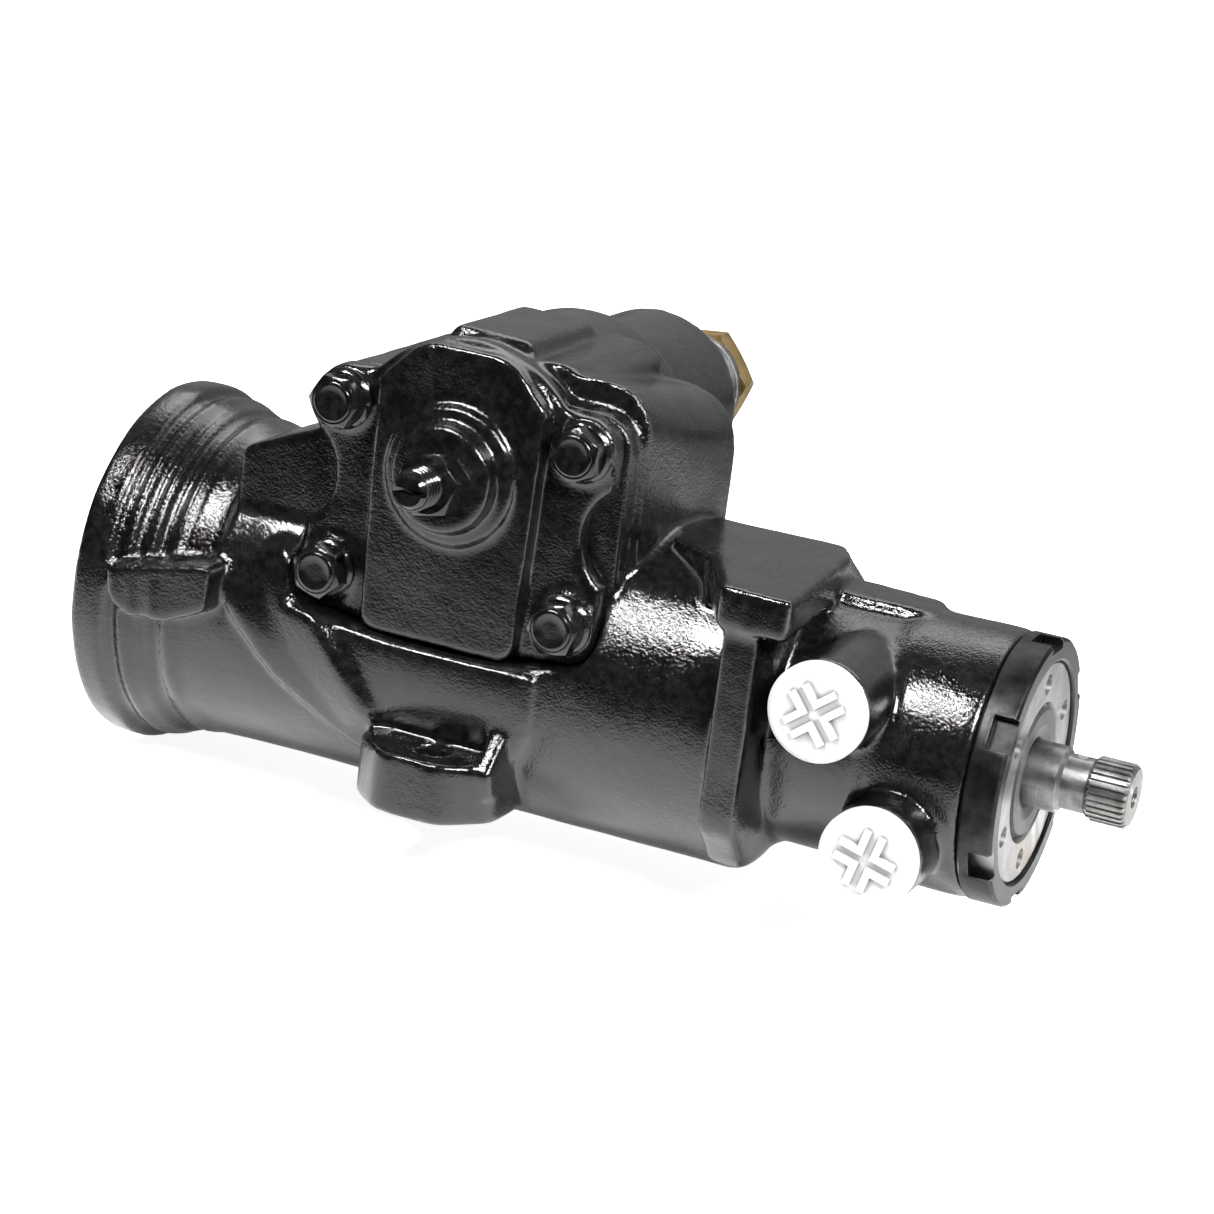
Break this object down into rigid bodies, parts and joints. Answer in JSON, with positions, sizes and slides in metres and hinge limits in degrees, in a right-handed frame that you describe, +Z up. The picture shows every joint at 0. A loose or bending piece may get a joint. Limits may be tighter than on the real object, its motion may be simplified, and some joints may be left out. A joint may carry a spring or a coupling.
{
  "type": "recirculating ball steering gearbox",
  "caption": "Black cast power steering gearbox: a worm and ball nut drive a rack that swings a toothed sector shaft; splined input stub, square side cover, capped hose ports.",
  "frame": {"origin": "centre of the input stub's end face, on the worm axis", "axes": "+X along the worm axis, out of the input stub; +Y along the sector shaft, towards the pitman nut; +Z up, from the worm axis to the sector shaft"},
  "size_m": [0.3185, 0.2245, 0.1572],
  "materials": {
    "black_paint": "gloss",
    "black_fastener": "gloss",
    "dark_phosphate": "semi-gloss",
    "machined_iron": "machined",
    "zinc_steel": "satin",
    "gold_zinc": "satin",
    "ground_steel": "ground",
    "bearing_steel": "polished",
    "plain_steel": "satin",
    "spring_steel": "oiled",
    "brass": "machined",
    "seal_rubber": "matte",
    "ring_plastic": "smooth",
    "white_plastic": "moulded"
  },
  "bodies": {
    "housing": {"housing": "black_paint", "housing_end_plug": "machined_iron", "end_plug_oring": "seal_rubber", "end_plug_retaining_ring": "spring_steel", "side_cover": "black_paint", "side_cover_seal": "seal_rubber", "side_cover_bolts": "black_fastener", "side_cover_bushing": "bearing_steel", "lash_adjuster_screw": "black_fastener", "lash_adjuster_jam_nut": "black_fastener", "sector_bearing_shell": "bearing_steel", "sector_shaft_seal": "seal_rubber", "sector_seal_washer": "zinc_steel", "sector_dust_seal": "seal_rubber", "sector_seal_retaining_ring": "spring_steel", "adjuster_plug": "machined_iron", "adjuster_plug_oring": "seal_rubber", "adjuster_locknut": "dark_phosphate", "stub_bearing_shell": "bearing_steel", "stub_shaft_seal": "seal_rubber", "stub_seal_retaining_ring": "spring_steel", "dust_seal": "seal_rubber", "lower_thrust_race_left": "bearing_steel", "upper_thrust_race_right": "bearing_steel", "pressure_port_seat": "brass", "return_port_seat": "brass", "check_valve_spring": "spring_steel", "pressure_port_cap": "white_plastic", "return_port_cap": "white_plastic"},
    "worm": {"worm_shaft": "ground_steel", "valve_body": "ground_steel", "valve_body_rings": "ring_plastic", "valve_drive_pin": "plain_steel", "lower_thrust_race_right": "bearing_steel", "upper_thrust_race_left": "bearing_steel"},
    "stub": {"stub_shaft": "zinc_steel", "torsion_bar": "ground_steel", "torsion_bar_pin": "plain_steel", "valve_spool": "ground_steel", "spool_drive_pin": "plain_steel", "spool_oring": "seal_rubber"},
    "rack_piston": {"rack_piston": "ground_steel", "piston_ring": "ring_plastic", "piston_ring_backup": "seal_rubber", "piston_end_plug": "machined_iron", "ball_return_guides": "zinc_steel", "ball_guide_clamp": "zinc_steel", "ball_guide_screws": "plain_steel", "recirculating_balls": "bearing_steel"},
    "sector": {"sector_shaft": "ground_steel", "pitman_nut": "gold_zinc", "pitman_lock_washer": "zinc_steel"},
    "lower_thrust_bearing": {"lower_thrust_cage": "plain_steel", "lower_thrust_rollers": "bearing_steel"},
    "upper_thrust_bearing": {"upper_thrust_cage": "plain_steel", "upper_thrust_rollers": "bearing_steel"},
    "sector_needle_set": {"sector_needles": "bearing_steel"},
    "stub_needle_set": {"stub_needles": "bearing_steel"},
    "check_poppet": {"check_valve_poppet": "brass"}
  },
  "joints": [
    {"name": "worm_spin", "type": "hinge", "parent": "housing", "child": "worm", "pos_m": [-0.1001, 0, 0], "axis": [1, 0, 0], "range_deg": [-653.54, 653.54]},
    {"name": "stub_twist", "type": "hinge", "parent": "worm", "child": "stub", "pos_m": [-0.1001, 0, 0], "axis": [1, 0, 0], "range_deg": [-7, 7], "stiffness_Nm_per_rad": 60},
    {"name": "rack_slide", "type": "slide", "parent": "housing", "child": "rack_piston", "axis": [1, 0, 0], "range_m": [-0.02361, 0.02361]},
    {"name": "sector_turn", "type": "hinge", "parent": "housing", "child": "sector", "pos_m": [-0.2001, 0, 0.0604], "axis": [0, 1, 0], "range_deg": [-41, 41]},
    {"name": "lower_thrust_spin", "type": "hinge", "parent": "housing", "child": "lower_thrust_bearing", "pos_m": [-0.1201, 0, 0], "axis": [1, 0, 0], "range_deg": [-328, 328]},
    {"name": "upper_thrust_spin", "type": "hinge", "parent": "housing", "child": "upper_thrust_bearing", "pos_m": [-0.0561, 0, 0], "axis": [1, 0, 0], "range_deg": [-328, 328]},
    {"name": "sector_needle_roll", "type": "hinge", "parent": "housing", "child": "sector_needle_set", "pos_m": [-0.2001, 0.055, 0.0604], "axis": [0, 1, 0], "range_deg": [-20, 20]},
    {"name": "stub_needle_roll", "type": "hinge", "parent": "housing", "child": "stub_needle_set", "pos_m": [-0.0441, 0, 0], "axis": [1, 0, 0], "range_deg": [-297, 297]},
    {"name": "check_poppet_slide", "type": "slide", "parent": "housing", "child": "check_poppet", "axis": [0, 1, 0], "range_m": [0, 0.0015], "stiffness_N_per_m": 400, "springref_m": -0.001, "deforming": ["check_valve_spring"]}
  ],
  "couplings": [
    {"joint": "rack_slide", "follows": "worm_spin", "m_per_rad": -0.002069},
    {"joint": "sector_turn", "follows": "worm_spin", "ratio": 0.062697},
    {"joint": "lower_thrust_spin", "follows": "worm_spin", "ratio": 0.5},
    {"joint": "upper_thrust_spin", "follows": "worm_spin", "ratio": 0.5},
    {"joint": "sector_needle_roll", "follows": "worm_spin", "ratio": 0.029111},
    {"joint": "stub_needle_roll", "follows": "worm_spin", "ratio": 0.45164}
  ]
}
